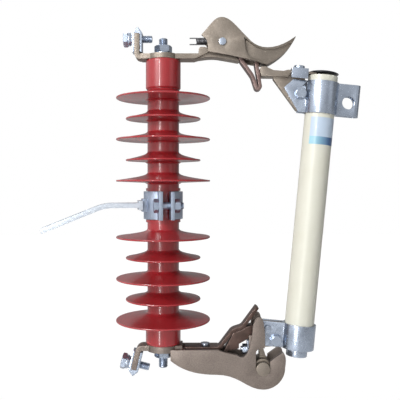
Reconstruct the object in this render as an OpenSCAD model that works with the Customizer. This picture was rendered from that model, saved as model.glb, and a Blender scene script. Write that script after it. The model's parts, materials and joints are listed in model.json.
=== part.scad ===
// Dropout fuse cutout: an insulator on a strap, a hinged fuse holder and a sprung hood.
// Lengths are in millimetres. The insulator stands along Z and the fuse holder is on its +X side.
// The origin is on the underside of the mounting strap, midway between its two bolt holes.

/* [Insulator] */
// Length of the insulator above the middle of the band
ins_above = 159; // [145:1:192]
// Length of the insulator below the middle of the band
ins_below = 152; // [140:1:184]
// Diameter of the housing between the sheds
sheath_d = 34.6; // [28:0.2:42]
// Swell of the housing's diameter at its two ends
end_swell = 3.6; // [2:0.2:8]
// Diameter of the large sheds
large_shed_d = 103; // [85:1:124]
// Diameter of the small sheds
small_shed_d = 82; // [60:1:84]
// Distance from one shed to the next
shed_pitch = 22.6; // [18:0.1:28]
// Height of the first upper shed's rim above the middle of the band
first_shed_up = 26.6; // [24:0.2:34]
// Depth of the first lower shed's rim below the middle of the band
first_shed_down = 35; // [33:0.5:42]
// Rise of a shed from its rim to the housing
shed_rise = 7.5; // [4:0.5:9]
// Least bare length between the highest rim and the upper end
upper_bare = 42; // [30:1:50]
// Least bare length between the lowest rim and the lower end
lower_bare = 26.6; // [14:0.2:36]

/* [Band and strap] */
// Height of the two half bands
band_h = 30; // [20:1:34]
// Thickness of the half bands and their flanges
band_t = 4; // [3:0.5:6]
// Gap between the flanges of the two halves
band_gap = 8.6; // [6:0.2:12]
// Width of the flanges beyond the band
flange_w = 13.55; // [13:0.05:18]
// Turn of the band and strap about the insulator
strap_turn = 10; // [0:1:20]
// Distance from the insulator's axis to the strap's bend
strap_reach = 64; // [52:1:90]
// Length of the strap beyond its bend
strap_tail = 71; // [68:1:110]
// Slope of the strap beyond its bend
strap_slope = 22; // [0:1:30]
// Width of the strap
strap_w = 30; // [24:1:40]
// Thickness of the strap
strap_t = 5; // [4:0.5:8]
// Diameter of the strap's bolt holes
strap_hole_d = 13; // [9:0.5:14]
// Distance between the strap's bolt holes
strap_hole_gap = 38; // [30:1:42]
// Distance from the strap's bend to the middle of its holes
strap_hole_at = 40; // [36:1:44]

/* [Terminals] */
// Thread diameter of the studs in the insulator
stud_d = 10; // [8:0.5:12]
// Width across flats of the studs' nuts
stud_af = 17; // [15:1:19]
// Thread diameter of the terminal bolts
terminal_d = 8.4; // [7:0.2:10]
// Width across flats of the terminal bolts' heads
terminal_af = 15.5; // [13:0.5:18]
// Outer width of a terminal saddle along its bolt
saddle_t = 10.8; // [9.6:0.2:14]
// Height of a terminal saddle from its foot to its ridge
saddle_h = 26.9; // [24:0.1:34]
// Depth of a terminal saddle across its bolt
saddle_w = 14; // [12:1:26]
// Tilt of the bottom terminal
lower_terminal_tilt = 14; // [4:1:20]

/* [Upper contact and hood] */
// Thickness of the upper contact plate
plate_t = 5.5; // [4.5:0.25:6.5]
// Outer width of the hood
hood_w = 32; // [28:1:39]
// Wall thickness of the hood
hood_wall = 3; // [2:0.25:3.5]
// Side clearance between the hood's walls and the plate's ears
ear_gap = 2; // [1:0.25:3]
// Distance from the insulator's axis to the hood's pivot
pivot_x = 64.6; // [60:0.2:70]
// Height of the hood's pivot above the contact plate
pivot_rise = 11.6; // [11:0.1:14]
// Diameter of the hood's pivot pin
pivot_d = 6; // [5:0.5:7.5]

/* [Lower hinge] */
// Distance from the insulator's axis to the trunnion
trunnion_x = 108; // [100:0.5:116]
// Depth of the trunnion below the insulator's lower end
trunnion_drop = 23.3; // [22:0.1:26]
// Diameter of the trunnion pin
trunnion_d = 14.4; // [12:0.2:16]
// Thickness of each hinge cheek
cheek_t = 5; // [4:0.5:6]
// Gap between the two hinge cheeks
cheek_gap = 22; // [20:0.4:27]
// Thickness of the bent contact strips
strip_t = 3.6; // [3:0.1:4.5]
// Width of the bent contact strips
strip_w = 16; // [12:0.5:18]

/* [Fuse holder] */
// Lean of the fuse tube from the insulator's axis
tube_lean = 5.5; // [5:0.25:6]
// Outer diameter of the fuse tube
tube_d = 32; // [26:0.5:39]
// Bore of the fuse tube
tube_bore = 17; // [12:0.5:20]
// Distance from the trunnion's axis to the face of the lower clamp's band
holder_gap = 19; // [17:0.5:22]
// Height of the lower clamp above the trunnion's axis, along the tube
holder_rise = 22.2; // [21:0.1:24]
// Sheet thickness of the two tube clamps
clamp_t = 2; // [1.5:0.25:2.5]
// Height of the upper tube clamp
upper_clamp_h = 35; // [30:1:36]
// Height of the lower tube clamp
lower_clamp_h = 27; // [25:1:29]
// Diameter of the pull eye
eye_d = 14; // [10:0.5:15]
// Reach of the pull eye's loop beyond the tube's wall
ear_reach = 26; // [24:0.5:32]
// Width of the pull eye's loop
ear_w = 11; // [9:0.5:14]
// Thickness of the brass web held between the clamp wings
web_t = 8; // [6:0.5:9]
// Thread diameter of the clamp bolts
clamp_bolt_d = 8; // [6:1:8]

/* [Hidden] */

fit = 0.15;
run_fit = 0.1;
flat_fit = 0.3;
seat = 0.02;
round_fn = 64;

brass = [0.60, 0.54, 0.44];
copper = [0.45, 0.25, 0.20];
zinc = [0.72, 0.76, 0.80];
red = [0.70, 0.10, 0.13];
cream = [0.90, 0.88, 0.76];
black = [0.12, 0.12, 0.13];
steel = [0.25, 0.22, 0.20];

// Insulator
base_z = -ins_below;
sheds_up = floor((ins_above - upper_bare - first_shed_up) / shed_pitch + 0.001) + 1;
sheds_down = floor((ins_below - lower_bare - first_shed_down) / shed_pitch + 0.001) + 1;
high_end_z = first_shed_up + (sheds_up - 1) * shed_pitch + shed_rise + 1.5;
low_end_z = -first_shed_down - (sheds_down - 1) * shed_pitch - 4;
end_r = (sheath_d + end_swell) / 2;
lip_low = band_h / 2 + 0.6;
lip_h = 3;
lip_r = sheath_d / 2 + 1.6;

// Band and strap
band_r = sheath_d / 2 + fit;
band_out = band_r + band_t;
pad_out = band_out + 2;
foot_t = 4;
flange_reach = band_out + flange_w;
flange_out = band_gap / 2 + band_t;
bolt_y = band_out + flange_w / 2;
slope_dir = [-cos(strap_slope), -sin(strap_slope)];
slope_up = [-sin(strap_slope), cos(strap_slope)];
face_xz = [-strap_reach, 0] + slope_dir * strap_hole_at - slope_up * strap_t / 2;
origin = [face_xz[0] * cos(strap_turn), face_xz[0] * sin(strap_turn), face_xz[1]];

// Upper contact plate: its tongue slopes down under the strip and is cut along the strip's leg
plate_z = ins_above;
plate_top = plate_z + plate_t;
pivot_z = plate_top + pivot_rise;
plate_w = hood_w - 2 * hood_wall - 2 * ear_gap;
ear_t = 4;
tongue_w = plate_w - 5;
tongue_a = [pivot_x - 4, plate_top + 0.6];
tongue_b = [pivot_x + 13.2, plate_top - 2.6];
tongue_dir = unit(tongue_b - tongue_a);
stack_h = 2.6;
nut_h = 7.8;

// Upper strip: a foot on the tongue, a leg down, a V bend and a leg up beside the contact arm
leg_a = [pivot_x + 33, plate_z - 17.9];
leg_a_dir = [cos(-54.5), sin(-54.5)];
v_bend = [pivot_x + 39.2, plate_z - 29.6];
v_r = strip_t * 0.62;
v_down = atan2(v_bend[1] - leg_a[1], v_bend[0] - leg_a[0]) - asin(v_r / norm(v_bend - leg_a));
v_up = 99.7;
leg_b = v_bend + v_r * [cos(v_up - 90), sin(v_up - 90)];
leg_b_dir = [cos(v_up), sin(v_up)];
tip_gap = 0.6;

// Terminals
bolt_z = 17.6;
saddle_foot = 2.5;
lug_w = saddle_w + 3;
terminal_x = -28.2;
low_terminal = [-26.6, base_z - 5.2];
low_terminal_dir = [-sin(lower_terminal_tilt), -cos(lower_terminal_tilt)];

// Lower hinge
base_t = 7;
trunnion_z = base_z - trunnion_drop;
trunnion_r = trunnion_d / 2;
cheek_z = trunnion_z + 1.5;
cheek_out = cheek_gap / 2 + cheek_t;
cheek_r = 23.5;
wall_x = trunnion_x - 14.5;
strip_z = base_z - 4.2;
shelf_z = strip_z - strip_t / 2 - seat;
shelf_t = 5;

// Fuse holder: the tube stands off the trunnion and reaches up to the hood's lowest point
clamp_r = tube_d / 2 + fit;
clamp_out = clamp_r + clamp_t;
wing_in = web_t / 2 + fit / 2;
wing_out = wing_in + clamp_t;
tube_x = trunnion_x + (clamp_out + holder_gap - trunnion_z * sin(tube_lean)) / cos(tube_lean);
pin = in_tube_frame([trunnion_x, trunnion_z]);
hood_low = [pivot_x + 48.4, pivot_z - 23.5];
tube_top = in_tube_frame(hood_low)[1] - 5.6;
arm_z = tube_top + 0.3;
arm_t = 2.2;
tip = in_tube_frame(leg_b + leg_b_dir * 20.6 + [-leg_b_dir[1], leg_b_dir[0]] * -strip_t / 2);
cap_x = -(tube_d / 2 + 11);
upper_clamp_top = tube_top - 6.6;
upper_clamp_low = upper_clamp_top - upper_clamp_h;
upper_clamp_mid = upper_clamp_top - upper_clamp_h / 2;
upper_bolt_at = [-(clamp_out + clamp_bolt_d / 2 + 1.5), upper_clamp_mid + 3];
ear_r = ear_w / 2;
ear_end = tube_d / 2 + ear_reach - ear_r;
lower_clamp_low = pin[1] + holder_rise;
lower_bolt_at = [-(clamp_out + clamp_bolt_d / 2 + 2.5), lower_clamp_low + 7];
rivet_at = [-(clamp_out + 16.85), lower_clamp_low + 18.5];
tube_low = lower_clamp_low - 0.5;
ferrule_h = 8;
ferrule_r = tube_bore / 2 + 3;

function unit(v) = v / norm(v);
function side(v) = [-v[1], v[0]];
function bezier(a, b, c, d, n = 10) =
    [for (i = [0:n]) let (t = i / n, s = 1 - t)
        a * s * s * s + b * 3 * s * s * t + c * 3 * s * t * t + d * t * t * t];
function arc(centre, r, from, to, n = 12) =
    [for (i = [0:n]) let (a = from + (to - from) * i / n) centre + r * [cos(a), sin(a)]];
// A path whose inner corners are rounded over the length r on each side
function rounded(path, r, n = 5) =
    [for (i = [0:len(path) - 1])
        each i == 0 || i == len(path) - 1 ? [path[i]] :
            let (p = path[i], a = p + unit(path[i - 1] - p) * r, b = p + unit(path[i + 1] - p) * r)
                [for (k = [0:n]) let (t = k / n) a * (1 - t) * (1 - t) + p * 2 * t * (1 - t) + b * t * t]];
// The outline of a strip of thickness t that follows a path
function strip_side(path, h) =
    [for (i = [0:len(path) - 1])
        let (last = len(path) - 1,
            before = side(unit(path[max(i, 1)] - path[max(i, 1) - 1])),
            after = side(unit(path[min(i, last - 1) + 1] - path[min(i, last - 1)])),
            out = (before + after) / (1 + before * after))
        path[i] + out * h];
function strip(path, t) =
    concat(strip_side(path, t / 2), [for (i = [len(path) - 1:-1:0]) strip_side(path, -t / 2)[i]]);
// Where the line through p along u meets the line through q along v
function meet(p, u, q, v) =
    p + u * (((q[0] - p[0]) * v[1] - (q[1] - p[1]) * v[0]) / (u[0] * v[1] - u[1] * v[0]));
// A point of the part's X and Z, about the insulator's axis, in the tube's own frame
function in_tube_frame(p) =
    [(p[0] - tube_x) * cos(tube_lean) - p[1] * sin(tube_lean),
        (p[0] - tube_x) * sin(tube_lean) + p[1] * cos(tube_lean)];

// Moves a piece drawn about the insulator's axis into the part's own frame
module in_part() { translate(-origin) children(); }
module in_band() { in_part() rotate([0, 0, strap_turn]) children(); }
module in_tube() { in_part() translate([tube_x, 0, 0]) rotate([0, tube_lean, 0]) children(); }
// Draws an outline given in X and Z, w wide along Y and centred on it
module slab(w) { rotate([90, 0, 0]) linear_extrude(w, center = true) children(); }
module rod_y(x, z, r, from, to) {
    translate([x, to, z]) rotate([90, 0, 0]) cylinder(h = to - from, r = r, $fn = round_fn);
}
module rod_x(from, to, y, z, r) {
    translate([from, y, z]) rotate([0, 90, 0]) cylinder(h = to - from, r = r, $fn = round_fn);
}
module hex_prism(af, h) { cylinder(h = h, d = af / cos(30), $fn = 6); }

// Insulator
// One shed's outline from its lower root to its upper root, with its rim at height z
function shed(i, z) =
    let (r = sheath_d / 2, r_rim = (i % 2 == 0 ? large_shed_d : small_shed_d) / 2, rim = 1)
    concat([[r, z - 4], [r + 3, z - 2.2]],
        arc([r_rim - rim, z], rim, -80, 70, 5),
        bezier([r_rim - 2 * rim, z + rim], [r + 5, z + shed_rise - 2.5],
            [r + 1, z + shed_rise - 1.2], [r, z + shed_rise + 1.5], 8));
module insulator_profile() {
    r = sheath_d / 2;
    round = 2.5;
    polygon(concat([[0, base_z]], arc([end_r - round, base_z + round], round, -90, 0, 5),
        [[end_r, low_end_z - 2], [end_r - 1, low_end_z - 0.5], [r, low_end_z - 0.5]],
        [for (i = [sheds_down - 1:-1:0]) each shed(i, -first_shed_down - i * shed_pitch)],
        [[r, -lip_low - lip_h], [lip_r, -lip_low - lip_h], [lip_r, -lip_low], [r, -lip_low],
            [r, lip_low], [lip_r, lip_low], [lip_r, lip_low + lip_h], [r, lip_low + lip_h]],
        [for (i = [0:sheds_up - 1]) each shed(i, first_shed_up + i * shed_pitch)],
        [[r, high_end_z + 0.5], [end_r - 1, high_end_z + 0.5], [end_r, high_end_z + 2]],
        arc([end_r - round, ins_above - round], round, 0, 90, 5), [[0, ins_above]]));
}
module insulator() {
    color(red) in_part() difference() {
        rotate_extrude($fn = 96) insulator_profile();
        translate([0, 0, ins_above - 30]) cylinder(h = 31, r = stud_d / 2 + fit, $fn = round_fn);
        translate([0, 0, base_z - 1]) cylinder(h = 31, r = stud_d / 2 + fit, $fn = round_fn);
    }
}

// Upper end
module top_stud() {
    color(zinc) in_part() translate([0, 0, ins_above - 29])
        cylinder(h = 29 + plate_t + 18.2, d = stud_d, $fn = round_fn);
}
module top_washer() {
    color(zinc) in_part() translate([0, 0, plate_top]) difference() {
        cylinder(h = stack_h, d = stud_d + 8, $fn = round_fn);
        translate([0, 0, -1]) cylinder(h = stack_h + 2, r = stud_d / 2 + fit, $fn = round_fn);
    }
}
module top_nut() {
    color(zinc) in_part() translate([0, 0, plate_top + stack_h]) rotate([0, 0, 12]) difference() {
        hex_prism(stud_af, nut_h);
        translate([0, 0, -1]) cylinder(h = nut_h + 2, r = stud_d / 2 + fit, $fn = round_fn);
    }
}

// An ear rises from the plate as a rounded lug and ends in an eye for the hood's pin
module contact_ear_outline() {
    x = pivot_x;
    z = plate_top;
    difference() {
        polygon(concat([[x - 37, z - plate_t + 0.5], [x - 28.6, z - plate_t + 0.5],
            [x - 14.6, z + 1.5], [x - 6, z + 2.2]],
            arc([x, pivot_z], 7.2, -115, 205, 24),
            [[x - 8.4, z + 4.6], [x - 14.6, z + 5]],
            arc([x - 19.5, z + 3.6], 3.5, 20, 95, 5),
            arc([x - 22.6, z + 4.1], 3, 95, 175, 5),
            [[x - 26, z], [x - 37, z]]));
        translate([x, pivot_z]) circle(d = pivot_d + 2 * fit, $fn = round_fn);
    }
}
module tongue_outline() {
    x = pivot_x;
    z = plate_z;
    cut = leg_a - side(leg_a_dir) * (strip_t / 2 + 1.2);
    polygon(concat([[20, plate_top], [20, z]],
        bezier([x - 34, z], [x - 28, z], [x - 20, z + 2.3], [x - 11.6, z + 2.3], 8),
        bezier([x - 11.6, z + 2.3], [x - 6, z + 2.3], [x - 2, z + 1.4], [x + 2.4, z + 0.6], 6),
        [meet([x + 2.4, z + 0.6], [14.8, -2.6], cut, leg_a_dir),
            meet(tongue_a, tongue_dir, cut, leg_a_dir), tongue_a,
            [x - 13, plate_top + 0.6], [x - 30, plate_top]]));
}
module upper_contact_plate() {
    mid = plate_z + plate_t / 2;
    color(brass) in_part() difference() {
        union() {
            slab(lug_w) polygon(strip(rounded([[terminal_x, plate_top + saddle_foot + saddle_h - 7],
                [terminal_x, mid], [0, mid]], 4), plate_t));
            translate([-24, -plate_w / 2, plate_z]) cube([pivot_x - 6, plate_w, plate_t]);
            translate([0, 0, plate_z]) cylinder(h = plate_t, r = end_r - 1.6, $fn = round_fn);
            slab(tongue_w) tongue_outline();
            for (y = [-1, 1])
                translate([0, y * (plate_w - ear_t) / 2, 0]) slab(ear_t) contact_ear_outline();
        }
        translate([0, 0, plate_z - 1]) cylinder(h = plate_t + 2, r = stud_d / 2 + fit, $fn = round_fn);
        rod_x(terminal_x - 5, terminal_x + 5, 0, plate_top + bolt_z, terminal_d / 2 + fit);
    }
}
module upper_spring_contact() {
    foot = side(tongue_dir) * (strip_t / 2 + seat);
    knee = meet(tongue_a + foot, tongue_dir, leg_a, leg_a_dir);
    path = concat(rounded([tongue_a + tongue_dir * 3 + foot, knee, leg_a,
        v_bend + v_r * [cos(v_down - 90), sin(v_down - 90)]], 2.4),
        arc(v_bend, v_r, v_down - 82, v_up - 98, 8), [leg_b, leg_b + leg_b_dir * 28]);
    color(copper) in_part() slab(strip_w) polygon(strip(path, strip_t));
}

// A terminal, with the plate's face at z = 0: a saddle astride the lug, two washers and a bolt
module terminal_block() {
    half = saddle_t / 2;
    gap = plate_t / 2 + fit;
    low = saddle_foot;
    top = low + saddle_h;
    difference() {
        slab(saddle_w) polygon([[-half, low], [-half, top - 5.5], [-half + 1, top - 4.2], [0.4, top],
            [1.2, top], [half - 0.8, top - 4.4], [half, top - 5.5], [half, low], [gap, low],
            [gap, top - 6.5], [-gap, top - 6.5], [-gap, low]]);
        rod_x(-half - 1, half + 1, 0, bolt_z, terminal_d / 2 + fit);
    }
}
module terminal_washer() {
    face = -saddle_t / 2;
    difference() {
        union() {
            rod_x(face - 2.2, face, 0, bolt_z, 6.4);
            rod_x(face - 4.5, face - 2.2, 0, bolt_z, 7.4);
        }
        rod_x(face - 6, face + 1, 0, bolt_z, terminal_d / 2 + fit);
    }
}
module terminal_bolt() {
    translate([-saddle_t / 2 - 4.5 - 5.4, 0, bolt_z]) rotate([0, 90, 0]) {
        hex_prism(terminal_af, 5.4);
        cylinder(h = 5.4 + 4.5 + saddle_t + 10.7, d = terminal_d, $fn = round_fn);
    }
}
module at_top_terminal() { in_part() translate([terminal_x, 0, plate_top]) children(); }
module at_bottom_terminal() {
    in_part() translate([low_terminal[0], 0, low_terminal[1]]) rotate([0, lower_terminal_tilt, 0])
        mirror([0, 0, 1]) children();
}
module top_terminal_block() { color(zinc) at_top_terminal() terminal_block(); }
module top_terminal_washer() { color(zinc) at_top_terminal() terminal_washer(); }
module top_terminal_bolt() { color(zinc) at_top_terminal() terminal_bolt(); }
module bottom_terminal_block() { color(zinc) at_bottom_terminal() terminal_block(); }
module bottom_terminal_washer() { color(zinc) at_bottom_terminal() terminal_washer(); }
module bottom_terminal_bolt() { color(zinc) at_bottom_terminal() terminal_bolt(); }

// Hood: two flat cheeks under one roof, and a bill whose sides are dished between rims
module hood_outline() {
    x = pivot_x;
    z = pivot_z;
    polygon(concat([[x - 15.7, z - 10.4], [x - 15.7, z - 4], [x - 16.9, z + 2]],
        bezier([x - 22.7, z + 7.4], [x - 11.4, z + 19.8], [x - 8.6, z + 26.4], [x - 0.6, z + 26.4]),
        bezier([x - 0.6, z + 26.4], [x + 8.8, z + 26.4], [x + 16.8, z + 14], [x + 27.4, z + 3.9]),
        bezier([x + 27.4, z + 3.9], [x + 36.9, z - 7.4], [x + 57.4, z - 9.9], [x + 80.6, z + 8.9]),
        bezier([x + 80.6, z + 7.9], [x + 72.4, z - 8.8], [x + 62.6, z - 16.6], [x + 48.4, z - 23.5]),
        [[x + 42, z - 21.9], [x + 26, z - 18.3], [x + 5.4, z - 13.9]]));
}
// Half widths of the hood along X: outside, dished and inside the pocket
function hood_half() =
    let (x = pivot_x, w = hood_w / 2)
    concat([[x - 30, w], [x + 24, w]],
        bezier([x + 24, w], [x + 33, w], [x + 39, w - 4.5], [x + 48, w - 5.5], 8),
        bezier([x + 48, w - 5.5], [x + 58, w - 7.5], [x + 72, w - 9], [x + 81.6, w - 13.5], 8));
function dish_half() =
    let (x = pivot_x, w = hood_w / 2 - 5.1)
    concat([[x + 15, w], [x + 32, w]],
        bezier([x + 32, w], [x + 38, w - 0.2], [x + 44, w - 0.9], [x + 50, w - 2], 6),
        bezier([x + 50, w - 2], [x + 58, w - 3.8], [x + 70, w - 5], [x + 83, w - 10], 6));
function pocket_half() =
    let (x = pivot_x, w = hood_w / 2 - hood_wall)
    concat([[x - 30, w], [x + 20.4, w]],
        bezier([x + 20.4, w], [x + 23, w], [x + 24, w - 4.1], [x + 26.5, w - 4.1], 6),
        bezier([x + 38, w - 4.1], [x + 40, w - 4.3], [x + 42, w - 4.8], [x + 46, w - 6], 4));
module plan(half) {
    polygon(concat(half, [for (i = [len(half) - 1:-1:0]) [half[i][0], -half[i][1]]]));
}
module upright(half) { translate([0, 0, pivot_z - 40]) linear_extrude(90) plan(half); }
module hood_pocket() {
    x = pivot_x;
    z = pivot_z;
    t = hood_wall;
    polygon(concat([[x - 30, z - 30], [x - 30, z + 13.2], [x - 20, z + 13.2]],
        bezier([x - 18, z + 10.5], [x - 10, z + 19], [x - 7.5, z + 26.4 - t], [x - 0.6, z + 26.4 - t]),
        bezier([x - 0.6, z + 26.4 - t], [x + 7.8, z + 26.4 - t], [x + 14.8, z + 11], [x + 26, z + 0.5]),
        [[x + 33, z - 7], [x + 41.5, z - 13], [x + 41.5, z - 30]]));
}
module hood_dish() {
    x = pivot_x;
    z = pivot_z;
    polygon(concat([[x + 23.3, z + 5.2], [x + 24.4, z - 6.8]],
        bezier([x + 24.4, z - 6.8], [x + 25.4, z - 11.8], [x + 26.8, z - 14.2], [x + 30.5, z - 16.6], 6),
        [[x + 41, z - 19.1], [x + 47.6, z - 21.3]],
        bezier([x + 47.6, z - 21.3], [x + 60, z - 16.2], [x + 69, z - 9.5], [x + 75.5, z + 0.5], 8),
        bezier([x + 73, z + 0.6], [x + 57, z - 10.5], [x + 38, z - 9.2], [x + 28.8, z + 0.2], 8)));
}
module hood() {
    color(brass) in_part() difference() {
        union() {
            difference() {
                intersection() {
                    slab(hood_w) hood_outline();
                    upright(hood_half());
                }
                intersection() {
                    slab(hood_w) hood_pocket();
                    upright(pocket_half());
                }
                difference() {
                    slab(hood_w + 2) hood_dish();
                    upright(dish_half());
                }
            }
            translate([pivot_x - 15.9, -hood_w / 2 + 1, pivot_z + 1.2]) cube([3, hood_w - 2, 7.4]);
        }
        rod_y(pivot_x, pivot_z, pivot_d / 2 + run_fit, -hood_w, hood_w);
    }
}
module hood_pivot_pin() {
    color(zinc) in_part() {
        rod_y(pivot_x, pivot_z, pivot_d / 2, -hood_w / 2 - 1.5, hood_w / 2 + 1.5);
        for (y = [-hood_w / 2 - 1.8, hood_w / 2 + 0.3]) rod_y(pivot_x, pivot_z, 4, y, y + 1.5);
    }
}
module hood_spring() {
    wire = 1.3;
    coil_r = 4.1 - wire / 2;
    x = pivot_x - 15.9 - 12.2;
    z = pivot_z + 3.8;
    color(steel) in_part() {
        for (i = [0:7]) translate([x + wire / 2 + i * 1.528, 0, z]) rotate([0, 90, 0])
            rotate_extrude($fn = 32) translate([coil_r, 0]) circle(d = wire + 0.25, $fn = 16);
        for (s = [-1, 1]) rod_x(x - 7.5, x + wire / 2, 0, z + s * coil_r, wire / 2);
    }
}

// Lower end
module bottom_stud() {
    color(zinc) in_part() translate([0, 0, base_z - 26])
        cylinder(h = 26 + 29, d = stud_d, $fn = round_fn);
}
module bottom_nut() {
    color(zinc) in_part() translate([0, 0, base_z - base_t - nut_h]) rotate([0, 0, 8]) difference() {
        hex_prism(stud_af, nut_h);
        translate([0, 0, -1]) cylinder(h = nut_h + 2, r = stud_d / 2 + fit, $fn = round_fn);
    }
}
module cheek_outline() {
    x = trunnion_x;
    z = cheek_z;
    slot_r = trunnion_r + flat_fit;
    difference() {
        polygon(concat([[x - 99.3, base_z - 3.5], [x - 99.3, z + 7]],
            bezier([x - 99.3, z + 7], [x - 87, z - 3.2], [x - 72, z - 8], [x - 50, z - 8]),
            bezier([x - 50, z - 8], [x - 28, z - 8], [x - 20, z - 20], [x - 6, z - 23.2], 8),
            arc([x + 0.4, z - 0.4], cheek_r, -100, 0, 14),
            bezier([x + 23.9, z - 0.4], [x + 25.2, z + 8], [x + 25, z + 13], [x + 21.5, z + 16], 6),
            [[x + 8, trunnion_z + 7.8], [x + slot_r, trunnion_z], [x - slot_r, trunnion_z],
                [x - slot_r, z + 15.5]],
            bezier([x - slot_r, z + 15.5], [x - slot_r, z + 19.5], [x - 2, z + 21], [x + 1.9, z + 20.3], 6),
            [[x + 2.4, z + 34], [x + 1.1, z + 45]],
            arc([x - 4, z + 49.6], 4, 20, 160, 6),
            [[x - 10.3, z + 45], [x - 11.9, z + 30.6], [x - 14.7, z + 19.7]],
            bezier([x - 14.7, z + 19.7], [x - 18, z + 11], [x - 22, z + 8], [x - 28, z + 13], 8),
            [[x - 42, z + 16], [x - 48.6, base_z - 3.5]]));
        translate([x, trunnion_z]) circle(r = slot_r, $fn = round_fn);
    }
}
module hinge_casting() {
    x = trunnion_x;
    z = cheek_z;
    lug_z = base_z - base_t / 2;
    bend = meet([0, lug_z], [1, 0], low_terminal, low_terminal_dir);
    color(brass) difference() {
        in_part() difference() {
            union() {
                for (y = [-1, 1])
                    translate([0, y * (cheek_gap + cheek_t) / 2, 0]) slab(cheek_t) cheek_outline();
                slab(cheek_gap + 0.02) polygon([[-12, base_z], [end_r + 2, base_z], [end_r + 2, shelf_z],
                    [x - 51, shelf_z], [x - 51, shelf_z - shelf_t], [17, shelf_z - shelf_t],
                    [14, base_z - base_t], [-12, base_z - base_t]]);
                translate([0, 0, base_z - base_t]) cylinder(h = base_t, r = end_r - 1.6, $fn = round_fn);
                slab(lug_w) polygon(strip(rounded([[-6, lug_z], bend,
                    low_terminal + low_terminal_dir * (saddle_foot + saddle_h - 7)], 4.2), plate_t));
                slab(cheek_gap + 0.02) intersection() {
                    cheek_outline();
                    translate([x - 80, z - 12]) square([59, 6]);
                }
                slab(cheek_gap + 0.02) polygon([[x - 21, z - 9], [x - 21, z - 4], [wall_x, z + 8],
                    [wall_x, z + 33], [wall_x + 3.5, z + 33], [wall_x + 3.5, z + 4], [x - 16, z - 9]]);
            }
            translate([0, 0, base_z - base_t - 1])
                cylinder(h = base_t + 2, r = stud_d / 2 + fit, $fn = round_fn);
            rod_x(wall_x - 5, wall_x + 5, 0, z + 15.8, 3 + fit);
            translate([x - 62, 0, base_z - 20]) cylinder(h = 30, r = 3 + fit, $fn = round_fn);
        }
        at_bottom_terminal() rod_x(-6, 6, 0, bolt_z, terminal_d / 2 + fit);
    }
}
function lower_strip_path() =
    let (x = trunnion_x, z = cheek_z)
    rounded([[x - 84, strip_z], [x - 46.8, strip_z], [x - 32.2, z + 36.8],
        [x - 21.4, z + 40.3], [x - 5, z + 62.5]], 2.5, 3);
module lower_spring_contact() {
    color(copper) in_part() difference() {
        slab(strip_w) polygon(strip(lower_strip_path(), strip_t));
        translate([trunnion_x - 62, 0, strip_z - 10]) cylinder(h = 20, r = 3 + fit, $fn = round_fn);
    }
}
// The leaf behind the lower strip, between its slope and the cross wall
module strip_backing() {
    x = trunnion_x;
    z = cheek_z;
    under = strip_side(lower_strip_path(), -strip_t / 2 - flat_fit);
    color(steel) in_part() slab(strip_w) polygon(concat([[x - 41.8, z + 14.5]],
        [for (p = under) if (p[0] > x - 38 && p[0] < x - 14) p],
        [[x - 10.6, z + 43.2], [x - 10.4, z + 33.3], [wall_x - flat_fit, z + 33.3],
            [wall_x - flat_fit, z + 28.8], [x - 25.2, z + 23], [x - 25.2, z + 18.2]]));
}
module strip_screw() {
    color(zinc) in_part() translate([trunnion_x - 62, 0, 0]) {
        translate([0, 0, shelf_z - shelf_t - 6]) cylinder(h = 6 + shelf_t + strip_t + 1, d = 6,
            $fn = round_fn);
        translate([0, 0, strip_z + strip_t / 2]) cylinder(h = 3.2, d = 10, $fn = round_fn);
        translate([0, 0, shelf_z - shelf_t - 5]) hex_prism(10, 5);
    }
}
module hinge_contact_nut() {
    z = cheek_z + 15.8;
    color(zinc) in_part() {
        translate([wall_x - 1.6, -8, z - 5.5]) cube([1.6, 16, 16.5]);
        translate([wall_x - 6.6, 0, z]) rotate([0, 90, 0]) hex_prism(10, 5);
        rod_x(wall_x - 8.5, wall_x + 3.5, 0, z, 3);
    }
}

// Band and strap
module half_band_plan() {
    difference() {
        union() {
            circle(r = band_out, $fn = round_fn);
            translate([band_gap / 2, -flange_reach]) square([band_t, 2 * flange_reach]);
        }
        circle(r = band_r, $fn = round_fn);
        translate([-band_out - 1, -flange_reach - 1])
            square([band_out + 1 + band_gap / 2, 2 * flange_reach + 2]);
    }
}
module half_band() {
    difference() {
        translate([0, 0, -band_h / 2]) linear_extrude(band_h) half_band_plan();
        for (y = [-bolt_y, bolt_y]) rod_x(0, band_out + 1, y, 0, 4 + fit);
    }
}
module left_half_band() {
    color(zinc) in_band() {
        mirror([1, 0, 0]) half_band();
        difference() {
            translate([-pad_out, -11, -7]) cube([pad_out - band_r - 1, 22, 14]);
            translate([0, 0, -8]) cylinder(h = 16, r = band_r + 1, $fn = round_fn);
        }
    }
}
module right_half_band() { color(zinc) in_band() half_band(); }
module band_bolt(y) {
    color(zinc) in_band() translate([-flange_out - 5.5, y, 0]) rotate([0, 90, 0]) {
        hex_prism(13, 5.5);
        cylinder(h = 5.5 + 2 * flange_out + 10, d = 8, $fn = round_fn);
    }
}
module band_nut(y) {
    color(zinc) in_band() translate([flange_out, y, 0]) rotate([0, 90, 0]) difference() {
        hex_prism(13, 6.5);
        translate([0, 0, -1]) cylinder(h = 9, r = 4 + fit, $fn = round_fn);
    }
}
module front_band_bolt() { band_bolt(-bolt_y); }
module front_band_nut() { band_nut(-bolt_y); }
module back_band_bolt() { band_bolt(bolt_y); }
module back_band_nut() { band_nut(bolt_y); }
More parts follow.
